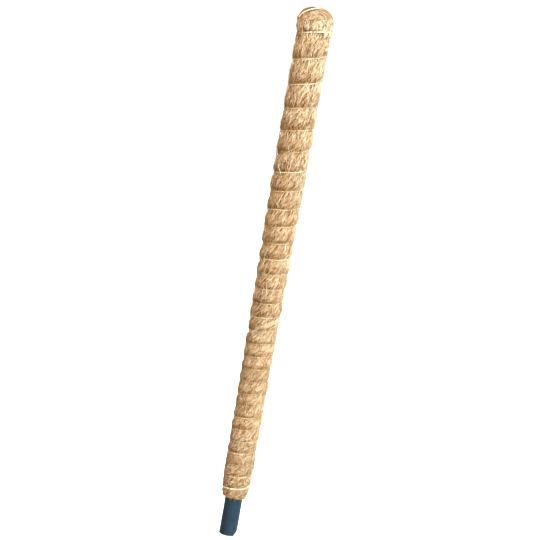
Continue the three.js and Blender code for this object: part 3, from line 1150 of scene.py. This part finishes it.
def plies(middle, normal, marks):
    ahead = np.gradient(middle, axis=0)
    ahead /= np.linalg.norm(ahead, axis=1, keepdims=True)
    across = np.cross(ahead, normal)
    across /= np.linalg.norm(across, axis=1, keepdims=True)
    outward = np.cross(across, ahead)
    twist = (fullTurn * marks / twine["lay"])[:, None]
    return np.array([
        middle + twine["offset"] * (np.cos(twist + half) * outward + np.sin(twist + half) * across)
        for half in (0, math.pi)
    ])


def evenly(middle):  # length along a line at each of its points, and places one step apart
    length = np.concatenate([[0], np.cumsum(np.linalg.norm(np.diff(middle, axis=0), axis=1))])
    return length, np.linspace(0, length[-1], int(length[-1] / twine["step"]))


def twineRun(firstTurn, lastTurn, knotted):
    def lifted(turn):
        middle, outward, upward = twineAt(turn)
        normal = ringPoint(outward, turn, upward)
        onCoir = bulgeRadius(middle[:, 2]) + twine["seatGap"] + twine["radius"]
        proud = onCoir - np.hypot(middle[:, 0], middle[:, 1])
        return middle + normal * (proud * knotRise(turn) * knotted)[:, None], normal

    dense = np.linspace(firstTurn, lastTurn, 40000)
    length, marks = evenly(lifted(dense)[0])
    turn = np.interp(marks, length, dense)
    middle, normal = lifted(turn)
    # paler towards both ends, darker between them in patches
    clean = np.maximum(grow(turn, *twine["paleAtFoot"]), grow(turn, *twine["paleAtNeck"]))
    shade = 0.24 + 0.22 * np.sin(marks * 37) * np.sin(marks * 11 + 2)
    shade = shade + 0.50 * clean + grow(turn, *twine["paleFoot"]) * (1 - clean)
    shade = shade + chance.normal(0, 0.05, (2, len(marks)))
    print("twine of", round(float(length[-1]), 3), "m")
    return plies(middle, normal, marks), np.clip(shade, *shadeRange)


def knotRun(turn):  # an overhand knot and its loose end, flat against the coir
    wind = np.linspace(*knot["wind"], knot["points"])
    reach = knot["radius"] * (2 + np.cos(knot["lobes"] * wind)) / 2
    lift = knot["radius"] / 2 * np.sin(knot["lobes"] * wind)
    local = np.stack([reach * np.cos(wind), reach * np.sin(wind), lift], -1)
    away = np.linspace(0, 1, knot["tailPoints"])[1:, None]
    aside, down, back = knot["tail"]
    tail = local[-1] + np.concatenate([aside * away, down * away ** 1.3, back * away], 1)
    local = np.concatenate([local, tail])
    height = float(twineHeight(turn))
    seat = float(bulgeRadius(height)) + twine["seatGap"] + knot["radius"] / 2 + twine["radius"]
    out = ringPoint(1.0, turn, 0.0)
    up = np.array((0, 0, 1.0))
    line = ringPoint(seat, turn, height) + local[:, :1] * np.cross(up, out)
    line = line + local[:, 1:2] * up + local[:, 2:] * out
    length, marks = evenly(line)
    middle = np.stack([np.interp(marks, length, line[:, i]) for i in range(3)], -1)
    shade = 0.5 + chance.normal(0, 0.06, (2, len(marks)))
    return plies(middle, np.tile(out, (len(marks), 1)), marks), np.clip(shade, *shadeRange)


twineCoat = fibreFinish("cream_twine", twineColours)
chance = np.random.default_rng(1732)


def addTwine(name, node, run):
    paths, shade = run
    radii = np.full(paths.shape[:2], twine["ply"])
    radii[:, [0, -1]] = 0
    mesh = strandMesh(name, paths, radii, np.array(twine["plyTones"]), shade, twine["plySides"])
    addPiece(name, mesh, twineCoat, "twine", node)
    print(name, len(mesh.polygons), "faces")


lastTurn = wrap["turnCount"] + twine["shoulderTurns"] + twine["crownTurns"]
addTwine("twine_foot_length", "twine_lower", twineRun(twine["footTurn"], twine["joinTurn"], 1))
addTwine("twine_head_length", "twine_upper", twineRun(twine["joinTurn"] + twine["joinGap"], lastTurn, 0))
addTwine("twine_foot_knot", "twine_lower", knotRun(twine["footTurn"]))
addTwine("twine_join_knot", "twine_lower", knotRun(twine["joinTurn"]))
print("twine wound")


# floor and light
studio = {
    "floorSize": 40,
    "floorDrop": 0.0004,
    "floorTone": (0.95, 0.95, 0.95, 1),
    "skyTone": (1.0, 0.98, 0.95, 1),
    "skyHigh": 1.25,  # overhead, less towards the horizon
    "skyEdge": 0.8,  # a bright line where the floor ends
    "edgeStart": (-0.12, -0.06),  # sines of the angle above the horizon
    "edgeEnd": (0.02, 0.12),
    "below": 0.15,
    "lampSize": 1.6,
    "lampDistance": 2.6,
    "lamps": {  # degrees round from the front to the right, degrees up, watts, tone
        "cool_right": (40, 17, 92, (0.56, 0.80, 0.98)),
        "warm_front": (9, 24, 71, (1.0, 0.80, 0.58)),
        "back_right": (158, 30, 26, (1.0, 0.97, 0.92)),
        "back_left": (210, 30, 50, (1.0, 0.97, 0.92)),
    },
}


def makeFloor():
    bm = bmesh.new()
    bmesh.ops.create_grid(bm, x_segments=8, y_segments=8, size=studio["floorSize"])
    bmesh.ops.translate(bm, verts=bm.verts, vec=(0, 0, -studio["floorDrop"]))
    mesh = bpy.data.meshes.new("floor")
    bm.to_mesh(mesh)
    bm.free()
    floor = bpy.data.objects.new("floor", mesh)
    bpy.context.collection.objects.link(floor)
    material, tree, shader = newFinish("pale_floor")
    setSockets(shader, Base_Color=studio["floorTone"], Roughness=0.9, Specular_IOR_Level=0.1)
    mesh.materials.append(material)
    floor.visible_diffuse = False  # white to look at, but it doesn't wash out the shaded sides


def makeSky():
    world = bpy.data.worlds.new("studio")
    world.use_nodes = True
    tree = world.node_tree
    sky = tree.nodes["Background"]
    sky.inputs["Color"].default_value = studio["skyTone"]
    way = Wire.node(tree, "TexCoord")
    high = Wire.node(tree, "SeparateXYZ", None, {0: way}, out=2)
    aboveFloor = high.above(*studio["edgeStart"])
    edge = aboveFloor - high.above(*studio["edgeEnd"])
    overhead = high.maths("MAXIMUM", high, 0.0)
    glow = overhead * studio["skyHigh"] + edge * studio["skyEdge"] + (1 - aboveFloor) * studio["below"]
    tree.links.new(glow.socket, sky.inputs["Strength"])
    bpy.context.scene.world = world


def makeLamp(name, around, high, power, tone):
    data = bpy.data.lights.new(name, "AREA")
    data.size = studio["lampSize"]
    data.energy = power
    data.color = tone
    lamp = bpy.data.objects.new(name, data)
    middle = Vector((0, 0, view["middle"]))
    aside = math.radians(around)
    rise = math.radians(high)
    way = Vector((math.sin(aside) * math.cos(rise), -math.cos(aside) * math.cos(rise), math.sin(rise)))
    spot = middle + studio["lampDistance"] * way
    lamp.matrix_world = Matrix.Translation(spot) @ (-way).to_track_quat("-Z", "Y").to_matrix().to_4x4()
    bpy.context.collection.objects.link(lamp)


makeFloor()
makeSky()
for name, lamp in studio["lamps"].items():
    makeLamp(name, *lamp)
bpy.context.scene.view_settings.view_transform = "Standard"
bpy.context.scene.view_settings.look = "High Contrast"
print("floor and light set")

bpy.context.view_layer.update()
